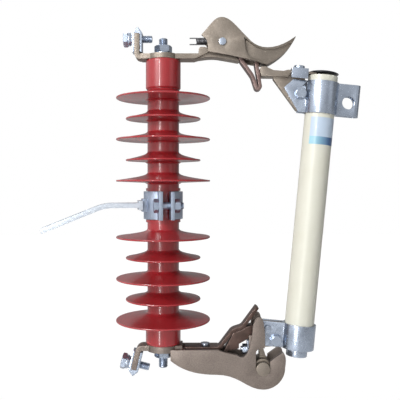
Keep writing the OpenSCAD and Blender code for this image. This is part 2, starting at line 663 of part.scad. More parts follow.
module mounting_strap() {
    tip = [-strap_reach, 0] + slope_dir * strap_tail;
    color(zinc) in_band() difference() {
        union() {
            slab(strap_w) polygon(strip(rounded([[-pad_out - foot_t / 2, 0], [-strap_reach, 0], tip], 9),
                strap_t));
            translate([-pad_out - foot_t, -strap_w / 2, -5]) cube([foot_t, strap_w, 10]);
        }
        for (s = [-1, 1]) {
            at = [-strap_reach, 0] + slope_dir * (strap_hole_at + s * strap_hole_gap / 2);
            translate([at[0], 0, at[1]]) rotate([0, -strap_slope, 0])
                cylinder(h = 4 * strap_t, d = strap_hole_d, center = true, $fn = round_fn);
        }
    }
}

// Fuse holder, drawn along the tube's own axis
module fuse_tube() {
    color(cream) in_tube() translate([0, 0, tube_low]) difference() {
        cylinder(h = tube_top - tube_low, d = tube_d, $fn = round_fn);
        translate([0, 0, -1]) cylinder(h = tube_top - tube_low + 2, d = tube_bore, $fn = round_fn);
    }
}
module tube_ferrule() {
    color(zinc) in_tube() translate([0, 0, tube_low - ferrule_h]) difference() {
        cylinder(h = ferrule_h, r = ferrule_r, $fn = round_fn);
        translate([0, 0, -1]) cylinder(h = ferrule_h + 2, d = tube_bore, $fn = round_fn);
    }
}
module clamp_band(low, h) {
    difference() {
        translate([0, 0, low]) cylinder(h = h, r = clamp_out, $fn = round_fn);
        translate([0, 0, low - 1]) cylinder(h = h + 2, r = clamp_r, $fn = round_fn);
        translate([-clamp_out - 1, -wing_in, low - 1]) cube([clamp_out, 2 * wing_in, h + 2]);
    }
}
module wings(outline) {
    for (y = [-1, 1]) translate([0, y * (wing_in + clamp_t / 2), 0]) difference() {
        slab(clamp_t) polygon(outline);
        translate([0, 0, -400]) cylinder(h = 800, r = clamp_r + 0.5, $fn = round_fn);
    }
}
// The pull eye's loop, folded from the clamp's sheet
module ear_plan() {
    difference() {
        union() {
            translate([10, -ear_r]) square([ear_end - 10, ear_w]);
            translate([ear_end, 0]) circle(r = ear_r, $fn = round_fn);
        }
        translate([5, -ear_r + clamp_t]) square([ear_end - 5, ear_w - 2 * clamp_t]);
        translate([ear_end, 0]) circle(r = ear_r - clamp_t, $fn = round_fn);
        circle(r = clamp_r + 0.5, $fn = round_fn);
    }
}
module upper_tube_clamp() {
    c = -clamp_out;
    low = upper_clamp_low;
    top = upper_clamp_top;
    color(zinc) in_tube() difference() {
        union() {
            clamp_band(low, upper_clamp_h);
            wings(concat([[-10, top], [c - 15.4, top]],
                bezier([c - 15.4, top], [c - 17.8, top - 4.8], [c - 21.2, top - 5.4], [c - 24, top - 10.2], 6),
                [[c - 6.9, low + 1], [c - 6.2, low], [-10, low]]));
            translate([0, 0, low]) linear_extrude(upper_clamp_h) ear_plan();
        }
        rod_y(ear_end - eye_d / 2, upper_clamp_mid - 2.5, eye_d / 2, -9, 9);
        rod_y(upper_bolt_at[0], upper_bolt_at[1], clamp_bolt_d / 2 + fit, -20, 20);
    }
}
module clamp_bolt(at, washer_r) {
    color(zinc) in_tube() {
        translate([at[0], -wing_out, at[1]]) rotate([90, 0, 0]) {
            cylinder(h = 1.2, r = washer_r, $fn = round_fn);
            hex_prism(11, 4.6);
        }
        rod_y(at[0], at[1], clamp_bolt_d / 2, -wing_out - 2, wing_out + 6);
    }
}
module clamp_nut(at) {
    color(zinc) in_tube() translate([at[0], wing_out + 4, at[1]]) rotate([90, 0, 0]) difference() {
        hex_prism(11, 4);
        translate([0, 0, -1]) cylinder(h = 7, r = clamp_bolt_d / 2 + fit, $fn = round_fn);
    }
}
module upper_clamp_bolt() { clamp_bolt(upper_bolt_at, clamp_bolt_d / 2 + 2.4); }
module upper_clamp_nut() { clamp_nut(upper_bolt_at); }
module contact_arm() {
    a = -tube_d / 2;
    low = upper_clamp_low;
    top = arm_z + arm_t;
    color(brass) in_tube() difference() {
        union() {
            slab(18) polygon([tip + [3 + tip_gap, -9.7], tip + [1.7 + tip_gap, -5.9],
                tip + [0.8 + tip_gap, -1.7], tip + [2 + tip_gap, 0.4], tip + [7.2, 1.2],
                tip + [11, -0.2], [a - 39.9, top - 1.9], [a - 29, top - 1.8], [a - 24, top],
                [a + 7, top], [a + 7, arm_z], [a - 20, arm_z], [a - 24, arm_z - 5.6],
                [a - 40, arm_z - 6.4]]);
            slab(web_t) polygon([[a - 40, arm_z - 2], [a - 36, arm_z], [a - 4, arm_z], [a - 4, low + 2],
                [a - 10.5, low + 1.5], [a - 34, upper_clamp_top - 7], [a - 38.5, upper_clamp_top - 2]]);
        }
        translate([0, 0, -1]) cylinder(h = tube_top + 1.1, r = clamp_out + 0.3, $fn = round_fn);
        rod_y(upper_bolt_at[0], upper_bolt_at[1], clamp_bolt_d / 2 + fit, -20, 20);
        translate([cap_x, 0, tube_top - 8]) cylinder(h = 30, r = 2.5 + fit, $fn = round_fn);
    }
}
module cap_bracket() {
    low = arm_z + arm_t;
    color(zinc) in_tube() difference() {
        union() {
            translate([cap_x - 9, -10.5, low]) cube([18, 21, 3]);
            for (y = [-10.5, 9.1]) translate([cap_x - 9, y, low - 8]) cube([18, 1.4, 11]);
        }
        translate([cap_x, 0, low - 1]) cylinder(h = 9, r = 2.5 + fit, $fn = round_fn);
    }
}
module cap_screw() {
    low = arm_z + arm_t + 3;
    color(zinc) in_tube() translate([cap_x, 0, 0]) {
        translate([0, 0, low]) cylinder(h = 4, d = 12, $fn = round_fn);
        translate([0, 0, low - 9]) cylinder(h = 10, d = 5, $fn = round_fn);
    }
}
module tube_cap() {
    r = tube_d / 2 + 0.5;
    color(black) in_tube() translate([0, 0, arm_z + arm_t]) rotate_extrude($fn = round_fn)
        polygon(concat([[0, 0], [r - 0.4, 0], [r, 0.5]],
            bezier([r, 1.1], [r - 2, 2.4], [r / 2, 3.2], [0, 3.2], 6)));
}
module lower_tube_clamp() {
    c = -clamp_out;
    low = lower_clamp_low;
    high = low + lower_clamp_h;
    color(zinc) in_tube() difference() {
        union() {
            clamp_band(low, lower_clamp_h);
            wings([[-10, high], [c - 22.2, high], [c - 22.9, high - 1], [c - 18, low + 0.8],
                [c - 17.2, low], [-10, low]]);
        }
        rod_y(lower_bolt_at[0], lower_bolt_at[1], clamp_bolt_d / 2 + fit, -20, 20);
        rod_y(rivet_at[0], rivet_at[1], 2.5 + fit, -20, 20);
    }
}
module lower_clamp_bolt() { clamp_bolt(lower_bolt_at, clamp_bolt_d / 2 + 3.2); }
module lower_clamp_nut() { clamp_nut(lower_bolt_at); }
module lower_clamp_rivet() {
    color(zinc) in_tube() {
        rod_y(rivet_at[0], rivet_at[1], 2.5, -wing_out - 2, wing_out + 2);
        for (y = [-wing_out - 2, wing_out]) rod_y(rivet_at[0], rivet_at[1], 3.7, y, y + 2);
    }
}
module trunnion() {
    c = -clamp_out;
    low = lower_clamp_low;
    half = cheek_gap / 2 - flat_fit;
    hub_r = trunnion_r + 1.8;
    color(brass) in_tube() difference() {
        union() {
            translate([pin[0], 0, pin[1]]) rotate([90, 0, 0]) rotate_extrude($fn = round_fn)
                polygon([[0, -cheek_out - 2.5], [trunnion_r, -cheek_out - 2.5], [trunnion_r, -half],
                    [hub_r, -half], [hub_r, half], [trunnion_r, half], [trunnion_r, cheek_out + 2.5],
                    [0, cheek_out + 2.5]]);
            slab(web_t) polygon([pin + [-3, 0], pin + [-5, 18.5], [c - 21.85, low + lower_clamp_h - 1],
                [c - 0.5, low + lower_clamp_h - 1], [c - 0.5, low + 1], [c - 19.85, low - 2],
                pin + [5.5, 6]]);
        }
        rod_y(lower_bolt_at[0], lower_bolt_at[1], clamp_bolt_d / 2 + fit, -20, 20);
        rod_y(rivet_at[0], rivet_at[1], 2.5 + fit, -20, 20);
    }
}

insulator();
top_stud();
top_washer();
top_nut();
upper_contact_plate();
upper_spring_contact();
top_terminal_block();
top_terminal_washer();
top_terminal_bolt();
bottom_stud();
bottom_nut();
hinge_casting();
lower_spring_contact();
strip_backing();
strip_screw();
hinge_contact_nut();
bottom_terminal_block();
bottom_terminal_washer();
bottom_terminal_bolt();
left_half_band();
right_half_band();
front_band_bolt();
front_band_nut();
back_band_bolt();
back_band_nut();
mounting_strap();
hood_pivot_pin();
hood();
hood_spring();
fuse_tube();
tube_ferrule();
upper_tube_clamp();
upper_clamp_bolt();
upper_clamp_nut();
contact_arm();
cap_bracket();
cap_screw();
tube_cap();
lower_tube_clamp();
lower_clamp_bolt();
lower_clamp_nut();
lower_clamp_rivet();
trunnion();
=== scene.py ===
"""Looks of a dropout fuse cutout.

Cast, plated and moulded finishes, threaded fasteners, a coil spring and a bare label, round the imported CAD.
"""

from __future__ import annotations

import json
import logging
import math
from dataclasses import dataclass, replace
from enum import Enum
from typing import Any, Iterable, Sequence

import bmesh
import bpy
from mathutils import Matrix, Vector

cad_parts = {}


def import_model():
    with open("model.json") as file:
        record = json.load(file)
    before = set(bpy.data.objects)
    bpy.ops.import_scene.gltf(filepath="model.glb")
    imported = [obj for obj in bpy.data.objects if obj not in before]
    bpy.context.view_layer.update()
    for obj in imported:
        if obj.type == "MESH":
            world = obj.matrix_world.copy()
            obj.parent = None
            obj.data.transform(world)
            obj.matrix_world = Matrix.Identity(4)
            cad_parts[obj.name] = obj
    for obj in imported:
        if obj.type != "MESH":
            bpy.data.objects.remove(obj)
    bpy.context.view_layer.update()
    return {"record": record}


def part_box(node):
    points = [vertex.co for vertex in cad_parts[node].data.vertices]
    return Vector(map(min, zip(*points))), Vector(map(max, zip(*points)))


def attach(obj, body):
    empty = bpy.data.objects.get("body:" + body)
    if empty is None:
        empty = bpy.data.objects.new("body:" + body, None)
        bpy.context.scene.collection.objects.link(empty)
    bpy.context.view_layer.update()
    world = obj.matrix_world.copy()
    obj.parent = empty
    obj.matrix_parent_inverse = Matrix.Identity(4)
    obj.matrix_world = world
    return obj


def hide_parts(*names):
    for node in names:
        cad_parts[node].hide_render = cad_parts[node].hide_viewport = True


LOG = logging.getLogger("cutout")
MM = 0.001
WELD = 2e-6  # metres
FLAT = 0.6  # degrees under which two faces count as one
BEVEL_STEPS = 2
BEVEL_SHAPE = 0.6  # 0.5 is a round edge and 1.0 a square one
ROUND_SIDES = 48
ROD_SIDES = 24
WIRE_SIDES = 12
COIL_STEPS = 32
HEX_SIDES = 6.0
HEX_ROUND = 0.95  # the circle left on a hexagon's face, as a share of its width across flats
HEX_BEVEL = 30.0  # degrees
THREAD_STEPS = 6.0  # rows of faces for each turn of a thread
THREAD_DEPTH = 0.5  # as a share of the pitch
ROD_BEVEL = 0.7  # as a share of the pitch
BORE_ROOM = 0.15  # millimetres
ROD_SIZES = ("Radius", "Length", "Thread", "Pitch")
RIM = 0.95  # a point of a hexagon's blank beyond this radius is on its outer ring
INNER = 0.5  # a point of a bored blank within this radius is on its inner ring
PLUG = 0.3  # faces within this share of a bore's radius are cut away
WHITE = (1.0, 1.0, 1.0)
WORN = "worn"
Span = tuple[float, float]
Triple = tuple[float, float, float]
Colour = Triple


def link(name: str, data: Any) -> bpy.types.Object:
    """Links new data to the scene.

    Args:
        name: The object's name.
        data: Its mesh, lamp or camera.

    Returns:
        The new object.
    """
    made = bpy.data.objects.new(name, data)
    bpy.context.scene.collection.objects.link(made)
    return made


class Value:
    """A node's output that takes part in Python arithmetic."""

    def __init__(self, graph: "Graph", socket: bpy.types.NodeSocket) -> None:
        """Keeps the socket and the graph that it belongs to."""
        self.graph = graph
        self.socket = socket

    def _with(self, operation: str, *terms: Any) -> "Value":
        """Adds a Math node of one operation on the given terms."""
        return self.graph.node("ShaderNodeMath", {"operation": operation}, dict(enumerate(terms)))

    def __add__(self, other: Any) -> "Value":
        """Sum."""
        return self._with("ADD", self, other)

    __radd__ = __add__

    def __mul__(self, other: Any) -> "Value":
        """Product."""
        return self._with("MULTIPLY", self, other)

    __rmul__ = __mul__

    def __sub__(self, other: Any) -> "Value":
        """Difference."""
        return self._with("SUBTRACT", self, other)

    def __rsub__(self, other: Any) -> "Value":
        """Difference from a number, such as 1 - mask."""
        return self._with("SUBTRACT", other, self)

    def __truediv__(self, other: Any) -> "Value":
        """Quotient."""
        return self._with("DIVIDE", self, other)

    def __gt__(self, limit: Any) -> "Value":
        """1 where the value is over the limit, 0 elsewhere."""
        return self._with("GREATER_THAN", self, limit)

    def __abs__(self) -> "Value":
        """Absolute value."""
        return self._with("ABSOLUTE", self)

    def least(self, other: Any) -> "Value":
        """The smaller of two values."""
        return self._with("MINIMUM", self, other)

    def most(self, other: Any) -> "Value":
        """The larger of two values."""
        return self._with("MAXIMUM", self, other)

    def cosine(self) -> "Value":
        """Cosine of an angle in radians."""
        return self._with("COSINE", self)

    def fraction(self) -> "Value":
        """The part after the decimal point."""
        return self._with("FRACT", self)

    def step(self, low: float, high: float) -> "Value":
        """A smooth rise from 0 at low to 1 at high."""
        return self.graph.node(
            "ShaderNodeMapRange",
            {"interpolation_type": "SMOOTHSTEP"},
            {"Value": self, "From Min": low, "From Max": high},
        )


class Graph:
    """A node tree, with one call for any node."""

    def __init__(self, tree: bpy.types.NodeTree) -> None:
        """Starts with the tree empty."""
        self.tree = tree
        self.tree.nodes.clear()

    def node(
        self,
        kind: str,
        settings: dict[str, Any] | None = None,
        inputs: dict[Any, Any] | None = None,
        output: int | str = 0,
    ) -> Value:
        """Adds a node.

        Args:
            kind: The node's type.
            settings: Its properties, set first.
            inputs: Values or links for its sockets, by name or index; a list fills a socket that takes many.
            output: The socket that is returned.

        Returns:
            The chosen output.
        """
        made = self.tree.nodes.new(kind)
        for key, value in (settings or {}).items():
            setattr(made, key, value)
        for key, value in (inputs or {}).items():
            socket = made.inputs[key]
            for term in value if isinstance(value, list) else [value]:
                if isinstance(term, Value):
                    self.tree.links.new(term.socket, socket)
                elif isinstance(term, tuple) and len(term) == 3 and socket.type == "RGBA":
                    socket.default_value = (*term, 1.0)
                else:
                    socket.default_value = term
        return Value(self, made.outputs[output])

    def vector(self, x: Any, y: Any, z: Any) -> Value:
        """A vector from its three parts."""
        return self.node("ShaderNodeCombineXYZ", inputs={"X": x, "Y": y, "Z": z})

    def part(self, vector: Value, axis: str) -> Value:
        """One part of a vector, by its letter."""
        return self.node("ShaderNodeSeparateXYZ", inputs={0: vector}, output=axis)

    def length(self, vector: Value) -> Value:
        """The length of a vector."""
        return self.node("ShaderNodeVectorMath", {"operation": "LENGTH"}, {0: vector}, "Value")


@dataclass(frozen=True)
class Layer:
    """A pattern over a surface and what it does there.

    Attributes:
        scale: Features per metre.
        detail: Octaves of its noise.
        rough: Weight of the fine octaves.
        edges: Limits of a smooth step that makes it patchy.
        stretch: Factors on the coordinates, for drawn or wound patterns.
        cells: Flat cells in place of noise.
        tint: Its share of the finish's second colour.
        tint_edges: Limits of a smooth step for the tint alone.
        dull: The roughness that it adds.
        depth: The depth of its relief in metres.
        push: The relief's weight.
    """

    scale: float
    detail: float = 2.0
    rough: float = 0.5
    edges: Span | None = None
    stretch: Triple | None = None
    cells: bool = False
    tint: float = 0.0
    tint_edges: Span | None = None
    dull: float = 0.0
    depth: float = 0.0
    push: float = 1.0


WEAR = Layer(420.0, 3.0, 0.6, (0.38, 0.62))
MOULDED = (
    Layer(45.0, 4.0, 0.6, (0.42, 0.75), tint=0.14, dull=0.10),
    Layer(420.0, 3.0, 0.6, tint=0.08, dull=0.12),
    Layer(260.0, depth=0.00012, push=0.5),
)
SAND_CAST = (
    Layer(38.0, 4.0, 0.6, (0.40, 0.72), tint=0.20, dull=0.08),
    Layer(850.0, 3.0, 0.65, (0.30, 0.72), tint=0.38, dull=0.16),
    Layer(1300.0, 3.0, 0.6, depth=0.00010),
    Layer(150.0, 3.0, 0.5, depth=0.00030, push=0.7),
)
ROLLED = (
    Layer(80.0, 4.0, 0.6, (0.35, 0.7), tint=0.5),
    Layer(900.0, 3.0, 0.5, stretch=(0.25, 1.0, 0.25), tint=0.3, dull=0.2, depth=0.00004, push=0.6),
)
PLATING = (
    Layer(95.0, 4.0, 0.6, tint=0.4, tint_edges=(0.3, 0.75), dull=0.14),
    Layer(700.0, tint=0.2, dull=0.06, depth=0.00003, push=0.5),
)
SPANGLED = (
    Layer(260.0, cells=True, tint=0.5, dull=0.14),
    Layer(220.0, 3.0, 0.55, tint=0.3, depth=0.00022, push=0.6),
)
PAINTED = (
    Layer(30.0, 4.0, 0.6, tint=0.30, tint_edges=(0.4, 0.8), dull=0.12),
    Layer(500.0, stretch=(0.15, 0.15, 1.0), tint=0.10, depth=0.00005, push=0.5),
)
SCUFFED = (Layer(350.0, 4.0, 0.65, (0.5, 0.75), (1.0, 0.3, 1.0), tint=0.12, dull=0.2),)
MOTTLED = (Layer(300.0, tint=0.2),)


class Paint(Graph):
    """One material's node tree."""

    def __init__(self, name: str) -> None:
        """Starts an empty material.

        Args:
            name: The material's name.
        """
        self.material = bpy.data.materials.new(name)
        self.material.use_nodes = True
        super().__init__(self.material.node_tree)

    def place(self) -> Value:
        """Object coordinates, in metres."""
        return self.node("ShaderNodeTexCoord", output="Object")

    def pattern(self, layer: Layer) -> Value:
        """Adds a layer's pattern.

        Args:
            layer: The layer.

        Returns:
            Its value, from 0 to 1.
        """
        where = self.place()
        if layer.stretch is not None:
            where = self.node("ShaderNodeMapping", inputs={"Vector": where, "Scale": layer.stretch})
        inputs = {"Vector": where, "Scale": layer.scale}
        if layer.cells:
            cells = self.node("ShaderNodeTexVoronoi", inputs=inputs, output="Color")
            value = self.node("ShaderNodeRGBToBW", inputs={"Color": cells})
        else:
            inputs |= {"Detail": layer.detail, "Roughness": layer.rough}
            value = self.node("ShaderNodeTexNoise", inputs=inputs)
        return value if layer.edges is None else value.step(*layer.edges)

    def worn(self) -> Value:
        """1 on a piece's rounded edges and 0 on its faces, broken up by noise."""
        edge = self.node("ShaderNodeAttribute", {"attribute_name": WORN}, output="Fac")
        return edge * self.pattern(WEAR)

    def blend(self, mask: Any, a: Any, b: Any) -> Value:
        """Mixes colour a to colour b by a mask."""
        return self.node("ShaderNodeMix", {"data_type": "RGBA"}, {0: mask, 6: a, 7: b}, output=2)

    def bump(self, height: Value, distance: float, strength: float, under: Value | None) -> Value:
        """A bumped normal.

        Args:
            height: The relief, from 0 to 1.
            distance: Its depth in metres.
            strength: Its weight.
            under: A normal that it is laid over.

        Returns:
            The normal.
        """
        inputs: dict[Any, Any] = {"Height": height, "Distance": distance, "Strength": strength}
        if under is not None:
            inputs["Normal"] = under
        return self.node("ShaderNodeBump", inputs=inputs)

    def principled(self, **sockets: Any) -> bpy.types.Material:
        """Ends the material in one Principled shader.

        Args:
            sockets: Its inputs, with underscores for spaces.

        Returns:
            The finished material.
        """
        inputs = {key.replace("_", " "): value for key, value in sockets.items()}
        return self.end(self.node("ShaderNodeBsdfPrincipled", inputs=inputs))

    def end(self, shader: Value) -> bpy.types.Material:
        """Ends the material.

        Args:
            shader: What its surface wears.

        Returns:
            The finished material.
        """
        out = self.tree.nodes.new("ShaderNodeOutputMaterial")
        self.tree.links.new(shader.socket, out.inputs["Surface"])
        return self.material


@dataclass(frozen=True)
class Finish:
    """A surface finish that any piece can wear.

    Attributes:
        name: Its name.
        colour: Its main colour.
        second: The colour that its layers bring in.
        layers: Its patterns; the relief of a later one lies over an earlier one's.
        roughness: Its roughness under the layers.
        metallic: Its share of bare metal.
        bright: The colour of worn edges.
        wear: How far worn edges take that colour.
        coat: The weight of a clear coat.
        coat_roughness: The coat's roughness.
    """

    name: str
    colour: Colour
    second: Colour
    layers: tuple[Layer, ...]
    roughness: float
    metallic: float = 0.0
    bright: Colour = WHITE
    wear: float = 0.0
    coat: float = 0.0
    coat_roughness: float = 0.03

    def material(self) -> bpy.types.Material:
        """The finish's material, made once.

        Returns:
            The material, under a name that no CAD material has.
        """
        name = f"{self.name} finish"
        found = bpy.data.materials.get(name)
        return found if found is not None else self.make(Paint(name))

    def skin(self, paint: Paint, tint: Any) -> Value:
        """The finish's colour.

        Args:
            paint: The material's tree.
            tint: The share of the second colour.

        Returns:
            The colour, with worn edges.
        """
        plain = paint.blend(tint, self.colour, self.second)
        return paint.blend(paint.worn() * self.wear, plain, self.bright) if self.wear else plain

    def make(self, paint: Paint) -> bpy.types.Material:
        """Builds the finish's node tree.

        Args:
            paint: An empty material.

        Returns:
            The finished material.
        """
        tint: Any = 0.0
        sockets: dict[str, Any] = {"Roughness": self.roughness}
        for layer in self.layers:
            value = paint.pattern(layer)
            if layer.tint:
                tint = (value.step(*layer.tint_edges) if layer.tint_edges else value) * layer.tint + tint
            if layer.dull:
                sockets["Roughness"] = value * layer.dull + sockets["Roughness"]
            if layer.depth:
                sockets["Normal"] = paint.bump(value, layer.depth, layer.push, sockets.get("Normal"))
        return paint.principled(
            Base_Color=self.skin(paint, tint),
            Metallic=self.metallic,
            Coat_Weight=self.coat,
            Coat_Roughness=self.coat_roughness,
            **sockets,
        )


@dataclass(frozen=True)
class LabelFinish(Finish):
    """Bare film: a pale field over a blue band, told apart by the piece's own UV map; the band carries a
    painted highlight, paler on the side where the key light falls.
    """

    band: Colour = (0.05, 0.12, 0.28)
    # Painted highlight: the blue band runs from this paler blue, on the key light's side, to deep blue by
    # 0.62 of the label's width.
    band_lit_pale: Colour = (0.30, 0.56, 0.66)
    band_top: float = 0.29
    band_light_span: Span = (0.0, 0.62)

    def skin(self, paint: Paint, tint: Any) -> Value:
        """The film's colour.

        Args:
            paint: The material's tree.
            tint: The share of the second colour in the pale field.

        Returns:
            The colour of both fields.
        """
        uv = paint.node("ShaderNodeUVMap", {"uv_map": "UVMap"})
        # Painted highlight: paler blue where the key light falls, deep blue further round the tube.
        band_with_painted_light = paint.blend(paint.part(uv, "X").step(*self.band_light_span), self.band_lit_pale, self.band)
        return paint.blend(paint.part(uv, "Y") > self.band_top, band_with_painted_light, super().skin(paint, tint))


class Coat(Enum):
    """The finishes that the cutout wears."""

    SILICONE = Finish(
        "silicone_red", (0.32, 0.014, 0.019), (0.40, 0.07, 0.08), MOULDED, 0.24, coat=0.5, coat_roughness=0.06
    )
    BRONZE = Finish(
        name="cast_bronze",
        colour=(0.262, 0.228, 0.193),
        second=(0.13, 0.10, 0.075),
        layers=SAND_CAST,
        roughness=0.40,
        metallic=0.72,
        bright=(0.72, 0.62, 0.48),
        wear=0.55,
    )
    # Painted shade: the same cast bronze darkened for the hinge casting at the bottom, where less light
    # falls.
    SHADED_BRONZE = replace(
        BRONZE, name="dark_bronze", colour=(0.245, 0.205, 0.18), second=(0.09, 0.07, 0.058)
    )
    COPPER = Finish(
        name="copper_strip",
        colour=(0.25, 0.175, 0.16),
        second=(0.09, 0.058, 0.052),
        layers=ROLLED,
        roughness=0.34,
        metallic=0.75,
        bright=(0.50, 0.38, 0.35),
        wear=0.7,
    )
    # Painted shade: the copper strip finish darkened for the lower contact strip and the strip backing, in
    # the shaded channel between the hinge cheeks.
    SHADED_STRIP = replace(
        COPPER,
        name="dark_strip",
        colour=(0.12, 0.075, 0.062),
        second=(0.035, 0.024, 0.020),
        bright=(0.45, 0.33, 0.29),
    )
    PLATED = Finish(
        name="zinc_plated",
        colour=(0.44, 0.50, 0.60),
        second=(0.27, 0.31, 0.38),
        layers=PLATING,
        roughness=0.17,
        metallic=0.9,
        bright=(0.86, 0.89, 0.93),
        wear=0.5,
    )
    DARK_STEEL = replace(
        PLATED,
        name="dark_steel",
        colour=(0.16, 0.16, 0.17),
        second=(0.07, 0.07, 0.075),
        roughness=0.3,
        bright=(0.42, 0.43, 0.45),
    )
    BAND = Finish("band_zinc", (0.40, 0.46, 0.56), (0.25, 0.30, 0.39), SPANGLED, 0.36, 0.8)
    STRAP = Finish("strap_zinc", (0.62, 0.67, 0.73), (0.46, 0.51, 0.58), SPANGLED, 0.36, 0.45)
    TUBE = Finish(
        "tube_paint", (0.655, 0.65, 0.565), (0.57, 0.55, 0.43), PAINTED, 0.34, coat=0.15, coat_roughness=0.2
    )
    CAP = Finish("cap_plastic", (0.006, 0.008, 0.011), (0.16, 0.17, 0.19), SCUFFED, 0.30)
    LABEL = LabelFinish("label_film", (0.46, 0.56, 0.68), (0.48, 0.56, 0.68), MOTTLED, 0.28, coat=0.3)


@dataclass(frozen=True)
class Spot:
    """A place for a repeated piece, with its own axis and the direction of one corner."""

    place: Vector
    axis: Vector
    corner: Vector
    length: float = 0.0

    def euler(self) -> Vector:
        """The spot's turn.

        Returns:
            The angles that take Z to the axis and X to the corner.
        """
        z = self.axis.normalized()
        x = (self.corner - z * self.corner.dot(z)).normalized()
        return Vector(Matrix((x, z.cross(x), z)).transposed().to_euler())


class Shape(Graph):
    """A Geometry Nodes tree with named inputs, which puts its piece on every point it is given."""

    def __init__(self, name: str, sizes: Sequence[str]) -> None:
        """Starts the tree.

        Args:
            name: The tree's name.
            sizes: The names of its inputs, each a length in metres or a plain number.
        """
        super().__init__(bpy.data.node_groups.new(name, "GeometryNodeTree"))
        face = self.tree.interface
        face.new_socket("Points", in_out="INPUT", socket_type="NodeSocketGeometry")
        for label in sizes:
            face.new_socket(label, in_out="INPUT", socket_type="NodeSocketFloat")
        face.new_socket("Finish", in_out="INPUT", socket_type="NodeSocketMaterial")
        face.new_socket("Mesh", in_out="OUTPUT", socket_type="NodeSocketGeometry")
        self.keys = {item.name: item.identifier for item in face.items_tree}
        self.entry = self.tree.nodes.new("NodeGroupInput")

    def size(self, label: str) -> Value:
        """One of the tree's named inputs."""
        return Value(self, self.entry.outputs[label])

    def join(self, *parts: Value) -> Value:
        """Several meshes as one."""
        return self.node("GeometryNodeJoinGeometry", inputs={0: list(parts)})

    def lift(self, mesh: Value, height: Any) -> Value:
        """A mesh moved along its own axis."""
        return self.node(
            "GeometryNodeTransform",
            inputs={"Geometry": mesh, "Translation": self.vector(0.0, 0.0, height)},
        )

    def drum(
        self, radius: Any, height: Any, sides: int, rings: Any = 1, hoops: int = 1, caps: str = "NGON"
    ) -> Value:
        """A cylinder that stands on its own origin.

        Args:
            radius: Its radius.
            height: Its height.
            sides: Its sides.
            rings: Rows of faces up its wall.
            hoops: Rings of faces on each cap, the middle face included.
            caps: The way its ends are filled.

        Returns:
            The mesh.
        """
        sizes = {"Vertices": sides, "Side Segments": rings, "Radius": radius, "Depth": height}
        if caps != "NONE":
            sizes["Fill Segments"] = hoops
        return self.lift(self.node("GeometryNodeMeshCylinder", {"fill_type": caps}, sizes), height * 0.5)

    def polar(self) -> tuple[Value, Value, Value]:
        """Measures each point.

        Returns:
            Its distance from Z, its angle about Z in turns and its height.
        """
        spot = self.node("GeometryNodeInputPosition")
        x, y, z = (self.part(spot, axis) for axis in "XYZ")
        angle = self.node("ShaderNodeMath", {"operation": "ARCTAN2"}, {0: y, 1: x})
        return self.length(self.vector(x, y, 0.0)), angle / math.tau + 1.0, z

    def redraw(self, mesh: Value, scale: Value, height: Value) -> Value:
        """Scales a mesh about Z point by point and sets each point's height.

        Args:
            mesh: The mesh.
            scale: Each point's factor on its distance from Z.
            height: Each point's new height.

        Returns:
            The new mesh.
        """
        spot = self.node("GeometryNodeInputPosition")
        moved = self.vector(self.part(spot, "X") * scale, self.part(spot, "Y") * scale, height)
        return self.node("GeometryNodeSetPosition", inputs={"Geometry": mesh, "Position": moved})

    def hexagon(self, across: Value, height: Value, bore: Value | None = None) -> Value:
        """A hexagon with a corner on X, its corners turned off at 30 degrees on both faces.

        Args:
            across: Its width across flats.
            height: Its height.
            bore: The radius of the hole along it, if it has one.

        Returns:
            The mesh, standing on its own origin.
        """
        blank = self.drum(1.0, height, ROUND_SIDES, 1, 2 if bore is None else 3)
        reach, turns, z = self.polar()
        rim = reach > RIM
        swing = ((turns * HEX_SIDES).fraction() - 0.5) * (math.tau / HEX_SIDES)
        flat = across * 0.5 / swing.cosine()
        circle = across * (HEX_ROUND / 2.0)
        radius = flat * rim + circle * (1.0 - rim)
        if bore is not None:
            inner = 1.0 - (reach > INNER)
            radius = radius * (1.0 - inner) + bore * inner
        drop = (flat - circle) * rim * math.tan(math.radians(HEX_BEVEL))
        upper = z > height * 0.5
        shaped = self.redraw(blank, radius / reach, (height - drop) * upper + drop * (1.0 - upper))
        if bore is None:
            return shaped
        core = self.node(
            "GeometryNodeDeleteGeometry",
            {"domain": "FACE"},
            {"Geometry": shaped, "Selection": 1.0 - (self.polar()[0] > bore * PLUG)},
        )
        wall = self.node(
            "GeometryNodeFlipFaces", inputs={"Mesh": self.drum(bore, height, ROUND_SIDES, caps="NONE")}
        )
        return self.node(
            "GeometryNodeMergeByDistance", inputs={"Geometry": self.join(core, wall), "Distance": WELD}
        )

    def threaded_rod(self, radius: Value, length: Value, thread: Value, pitch: Value) -> Value:
        """A rod with a cut thread on its far end and both ends chamfered.

        Args:
            radius: Its outer radius.
            length: Its length.
            thread: The length of the thread.
            pitch: The distance from one thread to the next.

        Returns:
            The mesh, standing on its own origin.
        """
        rings = self.node("FunctionNodeFloatToInt", inputs={0: length / pitch * THREAD_STEPS})
        rod = self.drum(radius, length, ROD_SIDES, rings)
        _, turns, z = self.polar()
        ridge = abs((z / pitch + turns).fraction() - 0.5) * 2.0
        depth = ridge * pitch * THREAD_DEPTH * (z > length - thread)
        from_end = z.least(length - z)
        cut = depth.most(pitch * ROD_BEVEL - from_end).most(0.0)
        return self.redraw(rod, 1.0 - cut / radius, z)

    def wire(self, path: Value, radius: Value) -> Value:
        """A round wire along a curve."""
        round_wire = self.node(
            "GeometryNodeCurvePrimitiveCircle", inputs={"Resolution": WIRE_SIDES, "Radius": radius}
        )
        return self.node(
            "GeometryNodeCurveToMesh", inputs={"Curve": path, "Profile Curve": round_wire, "Fill Caps": True}
        )

